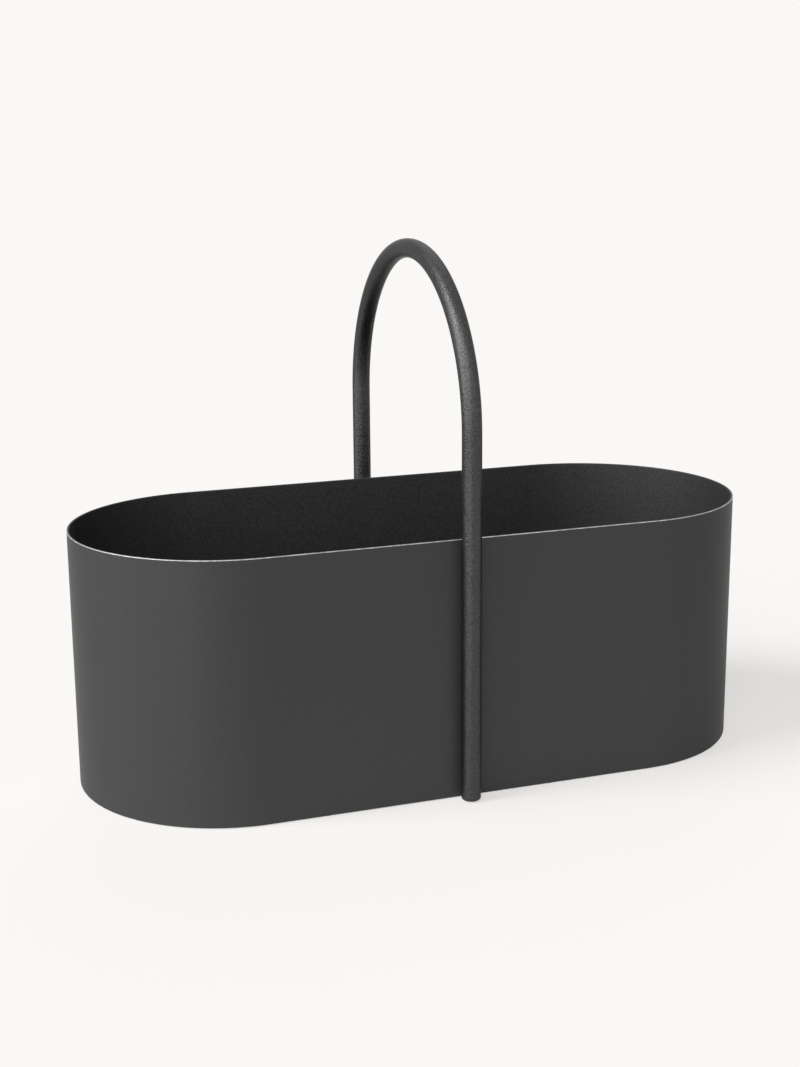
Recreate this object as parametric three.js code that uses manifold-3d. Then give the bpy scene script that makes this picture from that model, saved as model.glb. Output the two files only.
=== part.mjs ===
// Open steel storage box: an oval sheet-steel wall, a pressed base pan that sits inside it, and one
// round bar bent into a carrying handle. The handle's legs run down the outside of both flat walls to
// the foot of the box and are held by screws that go in from the inside.
// Millimetres, +Z up. The origin is on the table under the middle of the box. X runs along the box and
// Y across it.

import * as THREE from "three";
import { mergeVertices } from "three/addons/utils/BufferGeometryUtils.js";
import Module from "manifold-3d";

// Wall: one strip of sheet, rolled to two flat sides and two half-round ends
const BOX_LENGTH = 350; // outside, over the round ends
const BOX_WIDTH = 152; // outside, over the flat sides
const WALL_HEIGHT = 129;
const WALL_THICKNESS = 1.2;
const WALL_EDGE_ROUND = 0.35; // broken edge along the rim and the foot of the wall

// Base: a shallow pan pressed from sheet, its flange turned up against the wall
const BASE_THICKNESS = 1.2;
const BASE_FLANGE = 11; // from the underside to the flange's edge
const BASE_BEND = 3; // outside radius between floor and flange
const BASE_RECESS = 1.6; // underside above the foot of the wall

// Handle: round bar, legs flat against the wall, half-circle arch between them
const BAR_DIAMETER = 9.5;
const BAR_END_ROUND = 1.4;
const HANDLE_RISE = 264; // crown of the arch above the foot of the wall

// Button-head screws with plain washers, two to a leg
const SCREW_DIAMETER = 4;
const SCREW_LENGTH = 8; // under the head
const SCREW_TIP_CHAMFER = 0.6;
const SCREW_HEAD_DIAMETER = 7.6;
const SCREW_HEAD_HEIGHT = 2.2;
const SCREW_SOCKET_WIDTH = 2.5; // across the flats of the hexagon
const SCREW_SOCKET_DEPTH = 1.3;
const WASHER_DIAMETER = 9;
const WASHER_THICKNESS = 0.8;
const WASHER_EDGE_ROUND = 0.2;
const SCREW_HEIGHTS = { lower: 26, upper: 77 }; // above the foot of the wall

// Soft pads under the base, one near each quarter of the round ends
const PAD_DIAMETER = 14;
const PAD_EDGE_ROUND = 0.6;
const PAD_PROUD = 0.5; // how far the pads hold the foot of the wall off the table
const PAD_FROM_WALL = 24; // pad centre to the outside of the wall
const PAD_ANGLE = Math.PI / 4; // from the long axis, about the centre of the round end

// Clearances
const SEAT_GAP = 0.1; // between faces that are drawn together
const PAN_GAP = 0.3; // between the flange and the wall, all round
const SCREW_HOLE_GAP = 0.25; // radial, in the wall, the washer and the tapped hole
const TAP_RUN_OUT = 0.6; // hole depth beyond the screw's tip

// How finely curves are cut
const END_SEGMENTS = 16; // per quarter of the round ends
const BAR_SIDES = 24;
const ARCH_STEPS = 32;
const SMALL_SIDES = 24; // screws, washers and pads
const ROUND_STEPS = 3; // along an edge round

// What follows from the sizes above
const END_RADIUS = BOX_WIDTH / 2;
const END_CENTRE = BOX_LENGTH / 2 - END_RADIUS;
const FOOT = PAD_PROUD; // height of the wall's foot above the table
const BASE_UNDERSIDE = FOOT + BASE_RECESS;
const BAR_RADIUS = BAR_DIAMETER / 2;
const LEG_OFFSET = END_RADIUS + SEAT_GAP + BAR_RADIUS; // leg's centre line from the middle of the box
const LEG_LENGTH = HANDLE_RISE - BAR_RADIUS - LEG_OFFSET; // straight part, from the foot to the arch
const ARCH_FOOT = FOOT + LEG_LENGTH; // height at which the arch starts
const ARCH_LENGTH = Math.PI * LEG_OFFSET; // along the centre line
const BAR_LENGTH = 2 * LEG_LENGTH + ARCH_LENGTH; // before bending
const HEAD_SEAT = END_RADIUS - WALL_THICKNESS - 2 * SEAT_GAP - WASHER_THICKNESS; // under a screw head
const SCREW_TIP = HEAD_SEAT + SCREW_LENGTH;
const SCREW_HOLE_RADIUS = SCREW_DIAMETER / 2 + SCREW_HOLE_GAP;

// Finishes
const wallCoat = new THREE.MeshStandardMaterial({ color: 0x3a3a3c, roughness: 0.55, metalness: 0 });
const handleCoat = new THREE.MeshStandardMaterial({ color: 0x343436, roughness: 0.5, metalness: 0 });
const darkSteel = new THREE.MeshStandardMaterial({ color: 0x1d1d1f, roughness: 0.4, metalness: 0.8 });
const padRubber = new THREE.MeshStandardMaterial({ color: 0x151515, roughness: 0.85, metalness: 0 });

const wasm = await Module();
wasm.setup();

// A closed geometry as a solid that can be joined and cut.
function toSolid(geometry) {
  const loose = geometry.index ? geometry.toNonIndexed() : geometry.clone();
  loose.deleteAttribute("normal");
  loose.deleteAttribute("uv");
  const merged = mergeVertices(loose);
  const vertProperties = merged.getAttribute("position").array;
  const triVerts = new Uint32Array(merged.index.array);
  return new wasm.Manifold(new wasm.Mesh({ numProp: 3, vertProperties, triVerts }));
}

// A finished solid as a geometry again.
function toGeometry(solid) {
  const { vertProperties, triVerts } = solid.getMesh();
  const geometry = new THREE.BufferGeometry();
  geometry.setAttribute("position", new THREE.BufferAttribute(vertProperties, 3));
  geometry.setIndex(new THREE.BufferAttribute(triVerts, 1));
  geometry.computeVertexNormals();
  return geometry;
}

// A named piece of the assembly.
function piece(name, geometry, material) {
  const mesh = new THREE.Mesh(geometry, material);
  mesh.name = name;
  return mesh;
}

// The outline of the box: two flat sides and two half circles, drawn in by inset from the wall's outside.
function ovalOutline(inset) {
  const radius = END_RADIUS - inset;
  const outline = new THREE.Shape();
  outline.absarc(END_CENTRE, 0, radius, -Math.PI / 2, Math.PI / 2);
  outline.absarc(-END_CENTRE, 0, radius, Math.PI / 2, 1.5 * Math.PI);
  outline.closePath();
  return outline;
}

// An outline raised from height 0, with both of its edges rounded.
function roundedPrism(outline, height, round) {
  return new THREE.ExtrudeGeometry(outline, {
    depth: height - 2 * round,
    bevelThickness: round,
    bevelSize: round,
    bevelOffset: -round,
    bevelSegments: ROUND_STEPS,
    curveSegments: END_SEGMENTS,
  }).translate(0, 0, round);
}

// Points of a quarter circle about a centre in a lathe profile, from one angle to another.
function quarterRound(x, y, radius, from, to) {
  return new THREE.EllipseCurve(x, y, radius, radius, from, to, to < from).getPoints(ROUND_STEPS);
}

// A plain round cutter along Y, from one distance to another.
function drill(radius, from, to) {
  const cutter = new THREE.CylinderGeometry(radius, radius, to - from, SMALL_SIDES);
  return cutter.translate(0, (from + to) / 2, 0);
}

// Both legs are drilled alike, so each cutter is used at +Y and at -Y, at every screw height.
function cutScrewHoles(solid, from, to) {
  let cut = solid;
  for (const height of Object.values(SCREW_HEIGHTS)) {
    for (const turn of [0, Math.PI]) {
      const hole = drill(SCREW_HOLE_RADIUS, from, to).rotateZ(turn).translate(0, 0, FOOT + height);
      cut = cut.subtract(toSolid(hole));
    }
  }
  return cut;
}

// Wall: the oval strip with its edges broken, and a clearance hole for each screw.
function wallBand() {
  const outline = ovalOutline(0);
  outline.holes.push(ovalOutline(WALL_THICKNESS));
  const strip = roundedPrism(outline, WALL_HEIGHT, WALL_EDGE_ROUND).translate(0, 0, FOOT);
  const inside = END_RADIUS - 2 * WALL_THICKNESS;
  const outside = END_RADIUS + WALL_THICKNESS;
  return toGeometry(cutScrewHoles(toSolid(strip), inside, outside));
}

// Base pan: a rounded block hollowed by a smaller one and trimmed level at the flange's edge.
function basePan() {
  const inset = WALL_THICKNESS + PAN_GAP;
  const height = BASE_FLANGE + 2 * BASE_BEND;
  const block = roundedPrism(ovalOutline(inset), height, BASE_BEND);
  const hollow = roundedPrism(ovalOutline(inset + BASE_THICKNESS), height, BASE_BEND - BASE_THICKNESS);
  hollow.translate(0, 0, BASE_THICKNESS);
  const keep = new THREE.BoxGeometry(BOX_LENGTH, BOX_WIDTH, BASE_FLANGE);
  keep.translate(0, 0, BASE_FLANGE / 2);
  const pan = toSolid(block).subtract(toSolid(hollow)).intersect(toSolid(keep));
  return toGeometry(pan).translate(0, 0, BASE_UNDERSIDE);
}

// Where a point of the straight bar goes when the bar is bent: the bar runs up the front leg, over the
// arch and down the rear leg. Its own Y is the distance along it, and its Z points out of the bend.
function bendPoint(point) {
  const { x, y: along, z: outward } = point;
  const onArch = THREE.MathUtils.clamp(along - LEG_LENGTH, 0, ARCH_LENGTH);
  const onFrontLeg = Math.max(LEG_LENGTH - along, 0);
  const onRearLeg = Math.max(along - LEG_LENGTH - ARCH_LENGTH, 0);
  const angle = onArch / LEG_OFFSET;
  const reach = LEG_OFFSET + outward;
  const height = ARCH_FOOT + reach * Math.sin(angle) - onFrontLeg - onRearLeg;
  return point.set(x, -reach * Math.cos(angle), height);
}

// Handle: a round bar with rounded ends, turned straight, then bent to a U and tapped for the screws.
function handleBar() {
  const flat = BAR_RADIUS - BAR_END_ROUND;
  const profile = [
    new THREE.Vector2(0, 0),
    ...quarterRound(flat, BAR_END_ROUND, BAR_END_ROUND, -Math.PI / 2, 0),
  ];
  for (let step = 0; step <= ARCH_STEPS; step++) {
    profile.push(new THREE.Vector2(BAR_RADIUS, LEG_LENGTH + (ARCH_LENGTH * step) / ARCH_STEPS));
  }
  profile.push(
    ...quarterRound(flat, BAR_LENGTH - BAR_END_ROUND, BAR_END_ROUND, 0, Math.PI / 2),
    new THREE.Vector2(0, BAR_LENGTH),
  );
  const bar = new THREE.LatheGeometry(profile, BAR_SIDES);
  const places = bar.getAttribute("position");
  const point = new THREE.Vector3();
  for (let i = 0; i < places.count; i++) {
    bendPoint(point.fromBufferAttribute(places, i));
    places.setXYZ(i, point.x, point.y, point.z);
  }
  return toGeometry(cutScrewHoles(toSolid(bar), END_RADIUS - SEAT_GAP, SCREW_TIP + TAP_RUN_OUT));
}

// Button-head screw along Y, its tip towards +Y and its head's seat at 0, with a hexagon socket.
function screw() {
  const shank = SCREW_DIAMETER / 2;
  const headRadius = SCREW_HEAD_DIAMETER / 2;
  const dome = new THREE.EllipseCurve(0, 0, headRadius, SCREW_HEAD_HEIGHT, -Math.PI / 2, 0);
  const body = new THREE.LatheGeometry(
    [
      ...dome.getPoints(2 * ROUND_STEPS),
      new THREE.Vector2(shank, 0),
      new THREE.Vector2(shank, SCREW_LENGTH - SCREW_TIP_CHAMFER),
      new THREE.Vector2(shank - SCREW_TIP_CHAMFER, SCREW_LENGTH),
      new THREE.Vector2(0, SCREW_LENGTH),
    ],
    SMALL_SIDES,
  );
  const corner = SCREW_SOCKET_WIDTH / Math.sqrt(3);
  const socket = new THREE.CylinderGeometry(corner, corner, 2 * SCREW_SOCKET_DEPTH, 6);
  socket.translate(0, -SCREW_HEAD_HEIGHT, 0);
  return toGeometry(toSolid(body).subtract(toSolid(socket)));
}

// Plain washer along Y, its face at 0 and its thickness towards +Y.
function washer() {
  const outer = WASHER_DIAMETER / 2;
  const rim = outer - WASHER_EDGE_ROUND;
  return new THREE.LatheGeometry(
    [
      new THREE.Vector2(SCREW_HOLE_RADIUS, 0),
      ...quarterRound(rim, WASHER_EDGE_ROUND, WASHER_EDGE_ROUND, -Math.PI / 2, 0),
      new THREE.Vector2(outer, WASHER_THICKNESS),
      new THREE.Vector2(SCREW_HOLE_RADIUS, WASHER_THICKNESS),
      new THREE.Vector2(SCREW_HOLE_RADIUS, 0),
    ],
    SMALL_SIDES,
  );
}

// Soft pad, its rounded face on the table and its flat back against the base.
function footPad() {
  const radius = PAD_DIAMETER / 2;
  const thickness = BASE_UNDERSIDE - SEAT_GAP;
  return new THREE.LatheGeometry(
    [
      new THREE.Vector2(0, 0),
      ...quarterRound(radius - PAD_EDGE_ROUND, PAD_EDGE_ROUND, PAD_EDGE_ROUND, -Math.PI / 2, 0),
      new THREE.Vector2(radius, thickness),
      new THREE.Vector2(0, thickness),
    ],
    SMALL_SIDES,
  ).rotateX(Math.PI / 2);
}

const storageBox = new THREE.Group();
storageBox.add(piece("wall_band", wallBand(), wallCoat));
storageBox.add(piece("base_pan", basePan(), wallCoat));
storageBox.add(piece("handle_bar", handleBar(), handleCoat));

// The rear leg's fixings are made in place, and the front leg's are the same group turned half round.
for (const [side, turn] of [["rear", 0], ["front", Math.PI]]) {
  const fixings = new THREE.Group();
  fixings.rotation.z = turn;
  for (const [level, height] of Object.entries(SCREW_HEIGHTS)) {
    const bolt = piece(`handle_screw_${side}_${level}`, screw(), darkSteel);
    bolt.position.set(0, HEAD_SEAT, FOOT + height);
    const ring = piece(`screw_washer_${side}_${level}`, washer(), darkSteel);
    ring.position.set(0, HEAD_SEAT + SEAT_GAP, FOOT + height);
    fixings.add(bolt, ring);
  }
  storageBox.add(fixings);
}

const padReach = END_RADIUS - PAD_FROM_WALL;
for (const [end, xSign] of [["left", -1], ["right", 1]]) {
  for (const [side, ySign] of [["front", -1], ["rear", 1]]) {
    const pad = piece(`foot_pad_${side}_${end}`, footPad(), padRubber);
    const x = END_CENTRE + padReach * Math.cos(PAD_ANGLE);
    pad.position.set(xSign * x, ySign * padReach * Math.sin(PAD_ANGLE), 0);
    storageBox.add(pad);
  }
}

export default storageBox;
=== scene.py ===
# %% [markdown]
# # Dressing an open steel storage box
# The box is three things: a strip of sheet steel rolled to an oval, a pressed pan for its floor, and one
# round bar bent into a carrying handle. A construction model already holds all of it at its real size. Here
# each piece is modelled again with a finer surface and gets the finish of the real one, in the same place
# and in metres.

# %% Load the construction model
import math

import bmesh
import bpy
from mathutils import Matrix, Vector


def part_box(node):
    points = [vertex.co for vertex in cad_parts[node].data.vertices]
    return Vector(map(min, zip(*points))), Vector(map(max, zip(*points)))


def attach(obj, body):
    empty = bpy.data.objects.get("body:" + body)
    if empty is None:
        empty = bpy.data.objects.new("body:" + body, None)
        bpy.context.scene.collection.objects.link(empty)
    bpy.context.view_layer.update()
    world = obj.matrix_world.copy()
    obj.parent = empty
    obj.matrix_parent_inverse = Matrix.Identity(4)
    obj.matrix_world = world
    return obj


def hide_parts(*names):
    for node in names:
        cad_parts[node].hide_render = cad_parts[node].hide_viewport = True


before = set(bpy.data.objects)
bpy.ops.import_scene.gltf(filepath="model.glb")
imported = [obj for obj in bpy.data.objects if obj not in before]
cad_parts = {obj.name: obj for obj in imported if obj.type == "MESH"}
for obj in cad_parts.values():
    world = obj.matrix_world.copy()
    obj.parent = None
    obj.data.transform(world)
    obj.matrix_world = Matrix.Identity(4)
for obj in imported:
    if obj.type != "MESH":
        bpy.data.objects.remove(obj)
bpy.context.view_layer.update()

MM = 0.001
print("nodes:", len(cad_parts))

# %% [markdown]
# ## Sizes
# Nothing is measured twice. The outside of the wall and the run of the handle come from the boxes round
# their nodes, so the new pieces follow the construction model if it changes. Only what a box can't tell,
# such as the thickness of the sheet, is written here.

# %% Sizes that several pieces share
wall_low, wall_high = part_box("wall_band")
bar_low, bar_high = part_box("handle_bar")

SHEET = 1.2 * MM  # thickness of the wall and of the base pan
END_RADIUS = wall_high.y  # outside of the half-round ends
END_CENTRE = wall_high.x - END_RADIUS  # where the flat sides run into the ends
BAR_RADIUS = bar_high.x
LEG_OFFSET = bar_high.y - BAR_RADIUS  # centre line of a leg from the middle of the box
ARCH_FOOT = bar_high.z - BAR_RADIUS - LEG_OFFSET  # height at which the legs run into the arch
GUARD = 0.6 * MM  # distance of a guard loop from the edge that it keeps crisp
print("round ends, mm:", round(END_RADIUS / MM, 2), "about", round(END_CENTRE / MM, 2))
print("bar, mm:", round(2 * BAR_RADIUS / MM, 2), "arch from", round(ARCH_FOOT / MM, 2))

# %% [markdown]
# ## Camera
# The photograph was taken from a little above the rim and to the left of the front. Eye, turn, tilt and
# focal length were found by matching the outlines of the wall and the handle. The focal length is in pixels
# of the photograph, and Blender takes millimetres on a sensor, so it is scaled by the frame's long side.

# %% Set the camera
PHOTO_HEIGHT = 1067  # pixels
FOCAL_PIXELS = 1652
SENSOR = 36  # mm, along the long side of the frame
EYE = Vector((-282.9, -775.4, 314.6)) * MM
TURN = math.radians(19.6)  # to the right of +Y
TILT = math.radians(13.6)  # below the horizon
ROLL = math.radians(-0.46)

lens = bpy.data.cameras.new("camera")
lens.sensor_width = SENSOR
lens.lens = FOCAL_PIXELS * SENSOR / PHOTO_HEIGHT
camera = bpy.data.objects.new("camera", lens)
bpy.context.scene.collection.objects.link(camera)
aim = Matrix.Rotation(-TURN, 4, "Z") @ Matrix.Rotation(math.pi / 2 - TILT, 4, "X")
camera.matrix_world = Matrix.Translation(EYE) @ aim @ Matrix.Rotation(ROLL, 4, "Z")
bpy.context.scene.camera = camera
bpy.context.scene.view_settings.view_transform = "Standard"
print("lens, mm:", round(lens.lens, 2))

# %% [markdown]
# ## Building shader trees
# A node tree is easier to read when a node and its values stand on one line. These helpers make a node, set
# its options, and take for each input either a value or another node's output to link. Sums and mixes of
# colours come up often, so they have a helper each.

# %% Helpers for nodes
def set_inputs(tree, node, **inputs):
    """Sets inputs that are named as on the node, with underscores for spaces, or numbered as _0 and _1."""
    for name, value in inputs.items():
        key = int(name[1:]) if name[1:].isdigit() else name.replace("_", " ")
        if isinstance(value, bpy.types.NodeSocket):
            tree.links.new(value, node.inputs[key])
        else:
            node.inputs[key].default_value = value


def add_node(tree, kind, options=None, **inputs):
    """Adds a node with its options and its inputs."""
    made = tree.nodes.new(kind)
    for name, value in (options or {}).items():
        setattr(made, name, value)
    set_inputs(tree, made, **inputs)
    return made


def add_math(tree, operation, first, second):
    """Adds a math node whose result is kept between 0 and 1, and returns the result."""
    made = add_node(tree, "ShaderNodeMath", {"operation": operation, "use_clamp": True}, _0=first, _1=second)
    return made.outputs["Value"]


def mix_colours(tree, share, first, second):
    """Adds a mix with a share of the second colour in the first, and returns the mixed colour."""
    made = add_node(tree, "ShaderNodeMix", {"data_type": "RGBA"}, Factor=share, _6=first, _7=second)
    return made.outputs[2]


# %% [markdown]
# ## Floor
# The box stands on a sheet of pale paper in a darker studio. In a product photograph the paper is lightened
# afterwards, until it is one plain tone with a faint shadow. Here the paper's shader does the same. Rays
# that the camera sends, and those that reach the paper over something glossy or clear, look for the most
# part through the paper at the plain background. Past the paper's edge they see nothing else, so that there
# is neither an edge nor a horizon. Light that bounces about dully meets real paper, and past the edge the
# dark floor of the studio.

# %% Make the paper
PAPER = (0.956, 0.939, 0.922, 1)
STUDIO_FLOOR = (0.14, 0.14, 0.14, 1)
PAPER_EDGE = (0.36, 0.60)  # metres from the middle of the box, where the paper starts to fade and is gone
SHADOW_KEPT = 0.4  # share of a shadow's depth that stays on the lightened paper


def looking_rays(tree):
    """1 for rays that the camera sends, also by way of gloss or glass, and 0 for dull bounced light."""
    path = add_node(tree, "ShaderNodeLightPath")
    seen = path.outputs["Is Camera Ray"]
    for kind in ("Is Glossy Ray", "Is Transmission Ray"):
        seen = add_math(tree, "MAXIMUM", seen, path.outputs[kind])
    return seen


def paper_floor():
    """Matt paper that runs out into the background or, for bounced light, into dark floor."""
    material = bpy.data.materials.new("floor_paper")
    material.use_nodes = True
    tree = material.node_tree
    tree.nodes.clear()
    place = add_node(tree, "ShaderNodeTexCoord")
    reach = add_node(tree, "ShaderNodeVectorMath", {"operation": "LENGTH"}, _0=place.outputs["Object"])
    past = add_node(
        tree, "ShaderNodeMapRange", {"interpolation_type": "SMOOTHSTEP"},
        Value=reach.outputs["Value"], From_Min=PAPER_EDGE[0], From_Max=PAPER_EDGE[1],
    ).outputs["Result"]
    seen = looking_rays(tree)
    colour = mix_colours(tree, add_math(tree, "SUBTRACT", past, seen), PAPER, STUDIO_FLOOR)
    plain = add_node(tree, "ShaderNodeMapRange", Value=past, To_Min=1 - SHADOW_KEPT, To_Max=1)
    through = add_math(tree, "MULTIPLY", plain.outputs["Result"], seen)
    paper = add_node(tree, "ShaderNodeBsdfDiffuse", Color=colour)
    clear = add_node(tree, "ShaderNodeBsdfTransparent")
    mix = add_node(
        tree, "ShaderNodeMixShader", Fac=through, _1=paper.outputs["BSDF"], _2=clear.outputs["BSDF"],
    )
    add_node(tree, "ShaderNodeOutputMaterial", Surface=mix.outputs["Shader"])
    return material


floor_paper = paper_floor()
print("paper ends, m:", PAPER_EDGE[1])

# %% Lay it on the floor
FLOOR_SIZE = 8.0  # metres

sheet = bmesh.new()
bmesh.ops.create_grid(sheet, x_segments=1, y_segments=1, size=FLOOR_SIZE / 2)
floor_mesh = bpy.data.meshes.new("floor")
sheet.to_mesh(floor_mesh)
sheet.free()
floor = bpy.data.objects.new("floor", floor_mesh)
floor_mesh.materials.append(floor_paper)
bpy.context.scene.collection.objects.link(floor)
print("floor, m:", FLOOR_SIZE)

# %% [markdown]
# ## Light
# The left end of the box is the lightest part, the arch of the handle has a bright streak on its left, the
# front is even, and the clear shadow lies to the right, with a faint one along the front. That is a large
# window straight on the left, whose light comes down at 45 degrees, a softbox over the camera, and a weak
# light from behind, which makes the faint shadow. Some of the window's light comes in low. A pale card at
# the front left gives the legs their soft streak, and a little light from the room on the right fills the
# wall beside the leg. Each is a sun lamp, which is even all over the scene, and its angle makes it soft. A
# lamp's strength is given as what it adds on the paper. All of them with the world add up to 1, so the
# paper shows its own colour.

# %% Set up the lamps and the world
WORLD_SHARE = 0.02
LAMPS = [
    # name, share, degrees left of the front, degrees up, degrees across
    ("window", 0.50, 89, 45, 30),
    ("window_low", 0.06, 95, 10, 30),
    ("softbox", 0.23, 25, 45, 30),
    ("card", 0.07, 48, 12, 50),
    ("room", 0.02, -30, 20, 30),
    ("back", 0.10, 200, 45, 40),
]


def studio_world():
    """A little even light, and the paper's colour for rays that look past the floor."""
    world = bpy.data.worlds.new("studio")
    world.use_nodes = True
    tree = world.node_tree
    tree.nodes.clear()
    light = add_node(tree, "ShaderNodeBackground", Color=(1, 1, 1, 1), Strength=WORLD_SHARE)
    shown = add_node(tree, "ShaderNodeBackground", Color=PAPER, Strength=1)
    mix = add_node(
        tree, "ShaderNodeMixShader",
        Fac=looking_rays(tree), _1=light.outputs["Background"], _2=shown.outputs["Background"],
    )
    add_node(tree, "ShaderNodeOutputWorld", Surface=mix.outputs["Shader"])
    return world


def soft_lamp(name, share, side, height, spread):
    """A sun lamp that adds its share on the floor, whatever its height."""
    data = bpy.data.lights.new(name, "SUN")
    data.energy = share * math.pi / math.sin(math.radians(height))
    data.angle = math.radians(spread)
    lamp = bpy.data.objects.new(name, data)
    tip_up = Matrix.Rotation(math.radians(90 - height), 4, "X")
    lamp.matrix_world = Matrix.Rotation(math.radians(-side), 4, "Z") @ tip_up
    bpy.context.scene.collection.objects.link(lamp)


bpy.context.scene.world = studio_world()
for lamp in LAMPS:
    soft_lamp(*lamp)
print("light on the paper:", round(WORLD_SHARE + sum(lamp[1] for lamp in LAMPS), 3))

# %% [markdown]
# ## Powder coat
# The coat is dry paint that was sprayed as powder and melted in an oven. It is nearly black, satin rather
# than glossy, and never quite smooth: it has a fine grain of under a millimetre on top of a slow swell. The
# grain shows as sparkle where light strikes along the surface. Bump from two sizes of noise gives both, and
# the same grain shifts the colour a little. Such powders hold fine metal, which gives a dark glint that
# grows far less towards the edge of a curve than the shine of plain lacquer. So part of the coat is
# metallic, with a dark edge tint. The bar's coat is coarser than the wall's and holds more metal. Inside
# the wall the spray settles less evenly, which shows as a faint speckle. One function makes all three.

# %% Helpers for finishes
NOISE_RANGE = (0.3, 0.7)  # most values of a noise lie between these


def start_finish(name):
    """A new material, with its node tree, its shader and the place on the piece."""
    material = bpy.data.materials.new(name)
    material.use_nodes = True
    tree = material.node_tree
    place = add_node(tree, "ShaderNodeTexCoord").outputs["Object"]
    return material, tree, tree.nodes["Principled BSDF"], place


def add_noise(tree, place, size, **inputs):
    """Adds a noise whose patches have about this size, and returns its value."""
    return add_node(tree, "ShaderNodeTexNoise", Vector=place, Scale=1 / size, **inputs).outputs["Fac"]


def tone_ramp(tree, value, reach, first, last):
    """Adds a colour that runs from the first to the last while the value runs over its reach."""
    ramp = add_node(tree, "ShaderNodeValToRGB", Fac=value)
    low, high = ramp.color_ramp.elements
    low.position, high.position = reach
    low.color, high.color = (*first, 1), (*last, 1)
    return ramp.outputs["Color"]


def rough_range(tree, noise, gloss):
    """Adds a roughness that runs over a range with a noise."""
    rough = add_node(
        tree, "ShaderNodeMapRange", Value=noise,
        From_Min=NOISE_RANGE[0], From_Max=NOISE_RANGE[1], To_Min=gloss[0], To_Max=gloss[1],
    )
    return rough.outputs["Result"]


# %% Dust in a coat
SPECK_RADIUS = 0.028  # as a share of the distance between two places where a speck could be
SPECK_RARITY = 0.7  # of 1, how bright a place's random colour must be for it to have a speck


def dust(tree, place, spacing):
    """1 on the few fine specks that settle in a coat while it is soft, and 0 elsewhere."""
    cells = add_node(tree, "ShaderNodeTexVoronoi", Vector=place, Scale=1 / spacing)
    near = add_math(tree, "LESS_THAN", cells.outputs["Distance"], SPECK_RADIUS)
    chosen = add_math(tree, "GREATER_THAN", cells.outputs["Color"], SPECK_RARITY)
    return add_math(tree, "MULTIPLY", near, chosen)


# %% Make the three coats
SWELL = 9  # times as long as the grain
SWELL_SHARE = 0.3  # of the height of the bumps
GRAIN_RANGE = (0.34, 0.68)  # values of the grain between which the colour shifts
CLOUD = 1 / 18  # metres, size of the patches with another gloss
DUST_COLOUR = (0.16, 0.16, 0.16, 1)


def powder_coat(name, colour, metal, edge, uneven, grain, depth, gloss, shine, specks):
    """Black powder coat.

    Metal is its share of metal, edge the tint of that at the edge of a curve, uneven how far the grain shifts
    the colour, grain and depth the size and height of the bumps, gloss the range of roughness, shine the
    strength of the lacquer, and specks the distance between specks of dust.
    """
    material, tree, shader, place = start_finish(name)
    fine = add_noise(tree, place, grain, Detail=2, Roughness=0.6)
    swell = add_noise(tree, place, SWELL * grain, Detail=1)
    height = add_node(tree, "ShaderNodeMix", {"data_type": "FLOAT"}, Factor=SWELL_SHARE, A=fine, B=swell)
    bump = add_node(tree, "ShaderNodeBump", Strength=1, Distance=depth, Height=height.outputs["Result"])
    dark = [(1 - uneven) * part for part in colour]
    light = [(1 + uneven) * part for part in colour]
    tone = tone_ramp(tree, fine, GRAIN_RANGE, dark, light)
    set_inputs(
        tree, shader,
        Base_Color=mix_colours(tree, dust(tree, place, specks), tone, DUST_COLOUR),
        Roughness=rough_range(tree, add_noise(tree, place, CLOUD, Detail=3), gloss),
        Normal=bump.outputs["Normal"],
        Metallic=metal,
        Specular_IOR_Level=shine,
        Specular_Tint=(edge, edge, edge, 1),
    )
    return material


wall_coat = powder_coat(
    "wall_coat", (0.0555, 0.056, 0.0565), metal=0.42, edge=0.45, uneven=0.06, grain=0.8 * MM,
    depth=0.03 * MM, gloss=(0.42, 0.5), shine=0.14, specks=11 * MM,
)
inside_coat = powder_coat(
    "inside_coat", (0.053, 0.054, 0.0555), metal=0.42, edge=0.3, uneven=0.25, grain=0.8 * MM,
    depth=0.05 * MM, gloss=(0.42, 0.5), shine=0.14, specks=11 * MM,
)
handle_coat = powder_coat(
    "handle_coat", (0.0595, 0.06, 0.0605), metal=0.85, edge=0.5, uneven=0.3, grain=0.8 * MM,
    depth=0.4 * MM, gloss=(0.26, 0.32), shine=0.3, specks=14 * MM,
)
print("coats:", wall_coat.name, inside_coat.name, handle_coat.name)

# %% [markdown]
# ## Rim, fixings and pads
# The outer edge of the rim gets a lighter steel, whose colour paints the bright highlight line that the rim
# catches. The screws and washers are blackened steel, about as dark as the coat but shinier, and a little
# uneven. The pads under the base are matt rubber. Noise in the colour and the roughness stands for the rubbed
# patches of both steels, and a pattern of cells for the pebbled face of the rubber.

# %% Make the steels
RUB_RANGE = (0.35, 0.65)  # values of the noise between which the colour shifts
SCRATCH_DEPTH = 0.01 * MM


def worn_metal(name, dark, light, patch, metal, gloss):
    """Steel that is darker and lighter in patches, as where a thin coat is rubbed."""
    material, tree, shader, place = start_finish(name)
    rub = add_noise(tree, place, patch, Detail=3)
    scratch = add_node(tree, "ShaderNodeBump", Strength=0.3, Distance=SCRATCH_DEPTH, Height=rub)
    set_inputs(
        tree, shader,
        Base_Color=tone_ramp(tree, rub, RUB_RANGE, dark, light),
        Roughness=rough_range(tree, rub, gloss),
        Normal=scratch.outputs["Normal"],
        Metallic=metal,
    )
    return material


# the rim's lighter steel colour paints the bright highlight line along the outer edge of the rim
rim_steel_painted_highlight = worn_metal(
    "rim_steel_painted_highlight", (0.26, 0.26, 0.255), (0.44, 0.435, 0.43), patch=2.5 * MM, metal=1.0, gloss=(0.45, 0.6),
)
dark_steel = worn_metal(
    "dark_steel", (0.03, 0.03, 0.032), (0.07, 0.07, 0.072), patch=0.8 * MM, metal=0.9, gloss=(0.3, 0.5),
)
print("steels:", rim_steel_painted_highlight.name, dark_steel.name)

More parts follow.
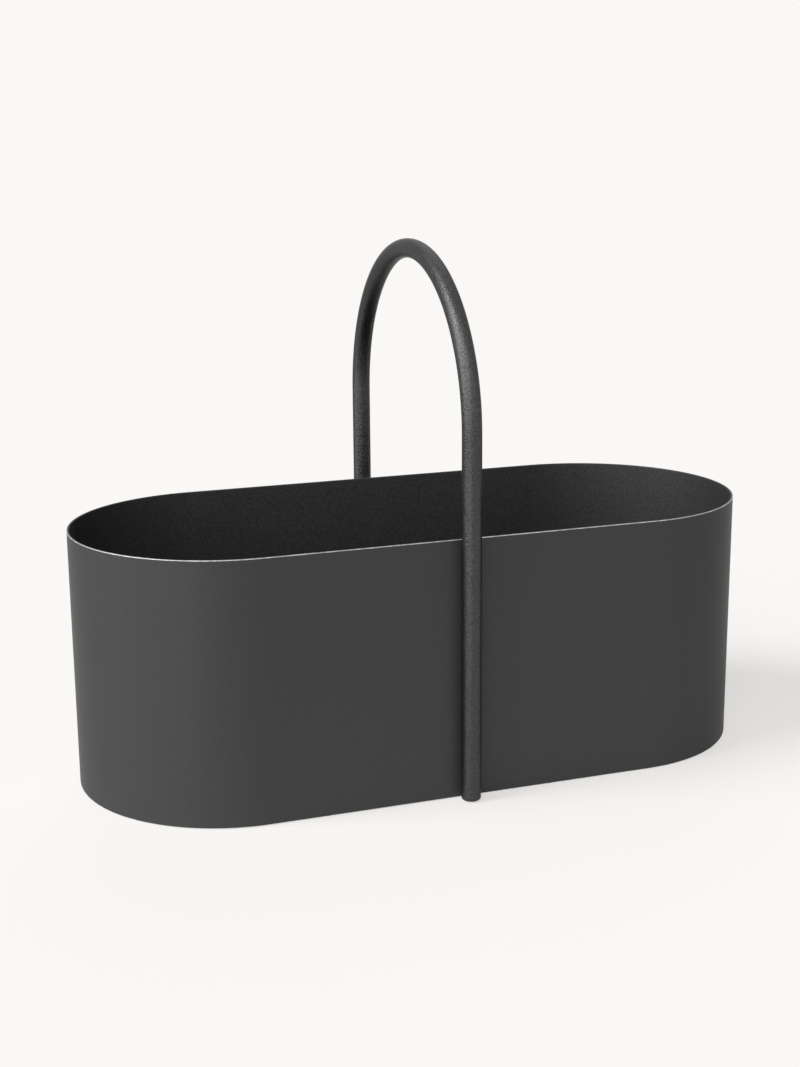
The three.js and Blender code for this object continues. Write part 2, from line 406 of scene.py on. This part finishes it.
# %% Make the rubber
PEBBLE = 0.9 * MM
PEBBLE_DEPTH = 0.06 * MM
PEBBLE_TOP = (0.022, 0.022, 0.022)
# painted shade: the colour in the gaps between the pebbles is darker than on their tops
PEBBLE_GAP_PAINTED_SHADE = (0.011, 0.011, 0.011)


def pad_rubber():
    """Matt black rubber with a fine pebbled face, whose gaps between pebbles are darkened with painted shade.
    """
    material, tree, shader, place = start_finish("pad_rubber")
    pebble = add_node(tree, "ShaderNodeTexVoronoi", Vector=place, Scale=1 / PEBBLE).outputs["Distance"]
    bump = add_node(
        tree, "ShaderNodeBump", {"invert": True}, Strength=0.6, Distance=PEBBLE_DEPTH, Height=pebble,
    )
    set_inputs(
        tree, shader,
        # painted shade darkens the colour towards the gaps between pebbles
        Base_Color=tone_ramp(tree, pebble, (0, 1), PEBBLE_TOP, PEBBLE_GAP_PAINTED_SHADE),
        Normal=bump.outputs["Normal"],
        Roughness=0.8,
    )
    return material


rubber = pad_rubber()
print("rubber:", rubber.name)

# %% [markdown]
# ## Finishing a piece
# Every piece ends the same way: doubled points are merged, its faces are turned outwards, curved faces are
# shaded smooth up to a sharp edge, and the piece rides on the box's one body in place of its node. Holes
# are cut with a Boolean modifier, as a drill cuts them, and the modifier is applied at once so that no
# cutter is left behind.

# %% Finish a piece
WELD = 0.001 * MM
CRISP = math.radians(35)  # edges sharper than this stay sharp


def shade(mesh):
    """Smooth shading, with the sharp edges kept."""
    mesh.shade_smooth()
    mesh.set_sharp_from_angle(angle=CRISP)


def finish_piece(bm, name, materials, node):
    """Turns a bmesh into a piece that stands for a node of the construction model."""
    bmesh.ops.remove_doubles(bm, verts=bm.verts[:], dist=WELD)
    bmesh.ops.recalc_face_normals(bm, faces=bm.faces[:])
    mesh = bpy.data.meshes.new(name)
    bm.to_mesh(mesh)
    bm.free()
    for material in materials:
        mesh.materials.append(material)
    piece = bpy.data.objects.new(name, mesh)
    bpy.context.scene.collection.objects.link(piece)
    shade(mesh)
    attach(piece, "root")
    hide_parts(node)
    print(name, "faces:", len(mesh.polygons))
    return piece


# %% Bore a hole
def bore(piece, radius, sides, start, end):
    """Cuts a round or many-sided hole from one point to another."""
    line = end - start
    turn = line.to_track_quat("Z", "Y").to_matrix().to_4x4()
    cutter_form = bmesh.new()
    bmesh.ops.create_cone(
        cutter_form, cap_ends=True, segments=sides, radius1=radius, radius2=radius, depth=line.length,
        matrix=Matrix.Translation((start + end) / 2) @ turn,
    )
    cutter_mesh = bpy.data.meshes.new("cutter")
    cutter_form.to_mesh(cutter_mesh)
    cutter_form.free()
    cutter = bpy.data.objects.new("cutter", cutter_mesh)
    bpy.context.scene.collection.objects.link(cutter)
    cut = piece.modifiers.new("bore", "BOOLEAN")
    cut.object = cutter
    cut.solver = "EXACT"
    drilled = bpy.data.meshes.new_from_object(piece.evaluated_get(bpy.context.evaluated_depsgraph_get()))
    piece.modifiers.clear()
    piece.data = drilled
    shade(drilled)
    bpy.data.objects.remove(cutter)


# %% [markdown]
# ## Wall
# The real wall is one strip, so its section is drawn once and swept: round one end with spin, along a flat
# with extrude, round the other end and back. A box with rounded corners would give the same oval, but the
# sweep also gives the sheet its rounded edge and an inside of the right radius in one go. The outer edge of
# the rim takes the second material, the lighter steel with its painted highlight, and the inside the third.

# %% Draw a section
SECTION_STEPS = 6  # along a round of the section


def round_corners(bm, corners, radius, segments):
    """Rounds corners of a section with arcs."""
    bmesh.ops.bevel(
        bm, geom=corners, offset=radius, offset_type="OFFSET", segments=segments, profile=0.5,
        affect="VERTICES", material=-1,
    )


def draw_section(bm, corners, closed):
    """Joins corners, each with its place across the front flat, its height and its round, in order."""
    verts = [bm.verts.new((END_CENTRE, y, z)) for y, z, radius in corners]
    for first, second in zip(verts, verts[1:]):
        bm.edges.new((first, second))
    if closed:
        bm.edges.new((verts[-1], verts[0]))
    for vert, (y, z, radius) in zip(verts, corners):
        if radius:
            round_corners(bm, [vert], radius, SECTION_STEPS)


print("steps along a round of the section:", SECTION_STEPS)

# %% Sweep it round the oval
END_STEPS = 192  # along a half-round end


def edges_of(geometry):
    """The edges among parts of a mesh."""
    return [part for part in geometry if isinstance(part, bmesh.types.BMEdge)]


def verts_of(geometry):
    """The vertices among parts of a mesh."""
    return [part for part in geometry if isinstance(part, bmesh.types.BMVert)]


def run_straight(bm, section, step):
    """Extrudes the edges of a section by one step and returns the new section, without the faces between."""
    strip = bmesh.ops.extrude_edge_only(bm, edges=edges_of(section))["geom"]
    bmesh.ops.translate(bm, verts=verts_of(strip), vec=step)
    return verts_of(strip) + edges_of(strip)


def sweep_round_oval(bm):
    """Sweeps all edges in bm, a section on the front flat at the start of the right end, round the oval."""
    section = bm.verts[:] + bm.edges[:]
    for end in (1, -1):
        section = bmesh.ops.spin(
            bm, geom=section, cent=(end * END_CENTRE, 0, 0), axis=(0, 0, 1), angle=math.pi, steps=END_STEPS,
        )["geom_last"]
        for run in (GUARD, 2 * (END_CENTRE - GUARD), GUARD):
            section = run_straight(bm, section, Vector((-end * run, 0, 0)))
    bmesh.ops.remove_doubles(bm, verts=bm.verts[:], dist=WELD)


print("steps along a round end:", END_STEPS)

# %% Roll the wall
WALL_EDGE_ROUND = 0.35 * MM


def wall_finish(face):
    """0 for the outside, 1 for the rounded outer edge of the rim and 2 for the inside of the wall."""
    middle = face.calc_center_median()
    spine = max(-END_CENTRE, min(END_CENTRE, middle.x))
    depth = END_RADIUS - math.hypot(middle.x - spine, middle.y)
    if depth > SHEET / 2:
        return 2
    # 1 takes the rim's lighter steel, whose colour paints the rim's highlight line
    return 1 if middle.z > wall_high.z - WALL_EDGE_ROUND and depth < WALL_EDGE_ROUND else 0


def wall():
    """The rolled strip: its section's corners are rounded before the sweep."""
    bm = bmesh.new()
    outside, inside = -END_RADIUS, SHEET - END_RADIUS
    low, high = wall_low.z, wall_high.z
    places = ((outside, low), (inside, low), (inside, high), (outside, high))
    draw_section(bm, [(y, z, WALL_EDGE_ROUND) for y, z in places], closed=True)
    sweep_round_oval(bm)
    for height in (low + WALL_EDGE_ROUND + GUARD, high - WALL_EDGE_ROUND - GUARD):
        geometry = bm.verts[:] + bm.edges[:] + bm.faces[:]
        bmesh.ops.bisect_plane(bm, geom=geometry, plane_co=(0, 0, height), plane_no=(0, 0, 1))
    for face in bm.faces:
        face.material_index = wall_finish(face)
    return finish_piece(bm, "coated_wall", [wall_coat, rim_steel_painted_highlight, inside_coat], "wall_band")


coated_wall = wall()

# %% [markdown]
# ## Base pan
# A press turns a flat blank up at its edge, which leaves a flange with a rounded bend. The pan can be swept
# just like the wall: its section is drawn from the floor's underside out to the bend, up the flange, over
# its edge and down again to the floor's top, with each corner rounded to its own radius. The sweep leaves
# an oval hole below and one above, and each is closed with one flat face.

# %% Press the pan
PAN_BEND = 3.0 * MM  # outside radius
PAN_EDGE_ROUND = 0.3 * MM
pan_low, pan_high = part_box("base_pan")


def base_pan():
    """Flange, bend and floor from one section, closed below and above."""
    bm = bmesh.new()
    outside, inside = -pan_high.y, SHEET - pan_high.y
    under, over, top = pan_low.z, pan_low.z + SHEET, pan_high.z
    floor_edge = outside + 2 * PAN_BEND
    corners = [
        (floor_edge, under, 0),
        (outside, under, PAN_BEND),
        (outside, top, PAN_EDGE_ROUND),
        (inside, top, PAN_EDGE_ROUND),
        (inside, over, PAN_BEND - SHEET),
        (floor_edge, over, 0),
    ]
    draw_section(bm, corners, closed=False)
    sweep_round_oval(bm)
    for height in (under, over):
        hole = [e for e in bm.edges if e.is_boundary and abs(e.verts[0].co.z - height) < WELD]
        bmesh.ops.edgeloop_fill(bm, edges=hole)
    return finish_piece(bm, "coated_pan", [wall_coat], "base_pan")


coated_pan = base_pan()

# %% [markdown]
# ## Handle
# The bar is bent round a former, so its section stays a true circle all the way. A circle is spun half a
# turn for the arch, and its two ends are extruded straight down to the foot of the wall. Curves with a
# bevel could make the same tube, but a mesh lets the cut ends have their small rounded edge.

# %% Bend the bar
BAR_SIDES = 64
ARCH_STEPS = 120
BAR_END_ROUND = 1.4 * MM
BAR_END_STEPS = 8


def handle():
    """The arch by spin, the legs by extrusion, and both ends capped and rounded."""
    bm = bmesh.new()
    start = Matrix.Translation((0, -LEG_OFFSET, ARCH_FOOT))
    bmesh.ops.create_circle(bm, cap_ends=False, radius=BAR_RADIUS, segments=BAR_SIDES, matrix=start)
    front = bm.verts[:] + bm.edges[:]
    rear = bmesh.ops.spin(
        bm, geom=front, cent=(0, 0, ARCH_FOOT), axis=(-1, 0, 0), angle=math.pi, steps=ARCH_STEPS,
    )["geom_last"]
    shoulder = bar_low.z + BAR_END_ROUND + GUARD
    cut_edges = []
    for leg in (front, rear):
        for drop in (GUARD, ARCH_FOOT - GUARD - shoulder, shoulder - bar_low.z):
            leg = run_straight(bm, leg, Vector((0, 0, -drop)))
        cut_edges += edges_of(leg)
    bmesh.ops.holes_fill(bm, edges=cut_edges, sides=BAR_SIDES)
    bmesh.ops.bevel(
        bm, geom=cut_edges, offset=BAR_END_ROUND, offset_type="OFFSET", segments=BAR_END_STEPS, profile=0.5,
        affect="EDGES", material=-1,
    )
    return finish_piece(bm, "coated_handle", [handle_coat], "handle_bar")


coated_handle = handle()

# %% [markdown]
# ## Screws and washers
# Two button-head screws a leg go through the wall into tapped holes in the bar, with a washer under each
# head. They are turned parts, so each starts as a profile that is spun once round. The hexagon socket is
# then bored with a six-sided cutter.

# %% Turn a profile
TURN_STEPS = 48


def turn_profile(bm):
    """Spins all edges in bm once round Z. An open profile has to start and end on the axis."""
    bmesh.ops.spin(
        bm, geom=bm.verts[:] + bm.edges[:], cent=(0, 0, 0), axis=(0, 0, 1), angle=2 * math.pi,
        steps=TURN_STEPS, use_merge=True,
    )
    bmesh.ops.remove_doubles(bm, verts=bm.verts[:], dist=WELD)


def draw_profile(bm, points, closed):
    """Points of radius and height, joined in order. Returns the vertices."""
    verts = [bm.verts.new((radius, 0, height)) for radius, height in points]
    for first, second in zip(verts, verts[1:]):
        bm.edges.new((first, second))
    if closed:
        bm.edges.new((verts[-1], verts[0]))
    return verts


print("turned parts have", TURN_STEPS, "sides")

# %% How a screw is made
SHANK_RADIUS = 2.0 * MM
HEAD_RADIUS = 3.8 * MM
HEAD_HEIGHT = 2.2 * MM
HEAD_ROUND = 1.9 * MM
HEAD_ROUND_STEPS = 8
TIP_CHAMFER = 0.6 * MM
SOCKET_WIDTH = 2.5 * MM  # across the flats
SOCKET_DEPTH = 1.3 * MM
SOCKET_SIDES = 6


def point_outwards(side):
    """Turns Z, along which fixings are turned, to point out of the box at the front or the rear."""
    return Matrix.Rotation(-side * math.pi / 2, 4, "X")


def screw(name, side, seat, length, height):
    """A button-head screw: the head's seat is at 0 and the tip at +Z, before it is placed."""
    bm = bmesh.new()
    points = [
        (0, -HEAD_HEIGHT),
        (HEAD_RADIUS, -HEAD_HEIGHT),
        (HEAD_RADIUS, 0),
        (SHANK_RADIUS, 0),
        (SHANK_RADIUS, length - TIP_CHAMFER),
        (SHANK_RADIUS - TIP_CHAMFER, length),
        (0, length),
    ]
    verts = draw_profile(bm, points, closed=False)
    round_corners(bm, [verts[1]], HEAD_ROUND, HEAD_ROUND_STEPS)
    turn_profile(bm)
    place = Matrix.Translation((0, side * seat, height)) @ point_outwards(side)
    bmesh.ops.transform(bm, matrix=place, verts=bm.verts[:])
    piece = finish_piece(bm, "screw_" + name, [dark_steel], "handle_screw_" + name)
    socket_corner = SOCKET_WIDTH / math.sqrt(3)
    mouth = place @ Vector((0, 0, -HEAD_HEIGHT - SOCKET_DEPTH))
    bottom = place @ Vector((0, 0, SOCKET_DEPTH - HEAD_HEIGHT))
    bore(piece, socket_corner, SOCKET_SIDES, mouth, bottom)
    return piece


print("screw, mm:", round(2 * SHANK_RADIUS / MM, 1), "with a head of", round(2 * HEAD_RADIUS / MM, 1))

# %% How a washer is made
HOLE_RADIUS = 2.25 * MM  # in the washer, the wall and the bar
WASHER_ROUND = 0.2  # of its thickness
WASHER_ROUND_STEPS = 3


def washer(name, side, inner_face, thickness, radius, height):
    """A stamped ring with slightly rounded edges."""
    bm = bmesh.new()
    points = [(HOLE_RADIUS, 0), (radius, 0), (radius, thickness), (HOLE_RADIUS, thickness)]
    verts = draw_profile(bm, points, closed=True)
    round_corners(bm, verts, WASHER_ROUND * thickness, WASHER_ROUND_STEPS)
    turn_profile(bm)
    place = Matrix.Translation((0, side * inner_face, height)) @ point_outwards(side)
    bmesh.ops.transform(bm, matrix=place, verts=bm.verts[:])
    return finish_piece(bm, "washer_" + name, [dark_steel], "screw_washer_" + name)


print("holes, mm:", round(2 * HOLE_RADIUS / MM, 1))

# %% Place them and drill their holes
HOLE_SIDES = 48

for side_name, side in (("front", -1), ("rear", 1)):
    for level in ("lower", "upper"):
        name = f"{side_name}_{level}"
        screw_low, screw_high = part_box("handle_screw_" + name)
        ring_low, ring_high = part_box("screw_washer_" + name)
        height = (screw_low.z + screw_high.z) / 2
        tip = max(side * screw_low.y, side * screw_high.y)
        head_top = min(side * screw_low.y, side * screw_high.y)
        seat = head_top + HEAD_HEIGHT
        inner_face = min(side * ring_low.y, side * ring_high.y)
        screw(name, side, seat, tip - seat, height)
        washer(name, side, inner_face, ring_high.y - ring_low.y, ring_high.x, height)
        clear = Vector((0, side * (END_RADIUS - 2 * SHEET), height))
        bore(coated_wall, HOLE_RADIUS, HOLE_SIDES, clear, Vector((0, side * (END_RADIUS + SHEET), height)))
        bore(coated_handle, HOLE_RADIUS, HOLE_SIDES, clear, Vector((0, side * (tip + TIP_CHAMFER), height)))

# %% [markdown]
# ## Pads
# Four thin pads are stuck under the base and lift the wall just clear of the table. Each is a turned disc
# with a rounded lower edge.

# %% Make the pads
PAD_ROUND = 0.6 * MM
PAD_ROUND_STEPS = 5


def pad(name):
    """A disc that fills its node's box."""
    low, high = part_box("foot_pad_" + name)
    radius = (high.x - low.x) / 2
    bm = bmesh.new()
    verts = draw_profile(bm, [(0, low.z), (radius, low.z), (radius, high.z), (0, high.z)], closed=False)
    round_corners(bm, [verts[1]], PAD_ROUND, PAD_ROUND_STEPS)
    turn_profile(bm)
    middle = (low + high) / 2
    bmesh.ops.translate(bm, verts=bm.verts[:], vec=(middle.x, middle.y, 0))
    return finish_piece(bm, "pad_" + name, [rubber], "foot_pad_" + name)


for side_name in ("front", "rear"):
    for end_name in ("left", "right"):
        pad(f"{side_name}_{end_name}")
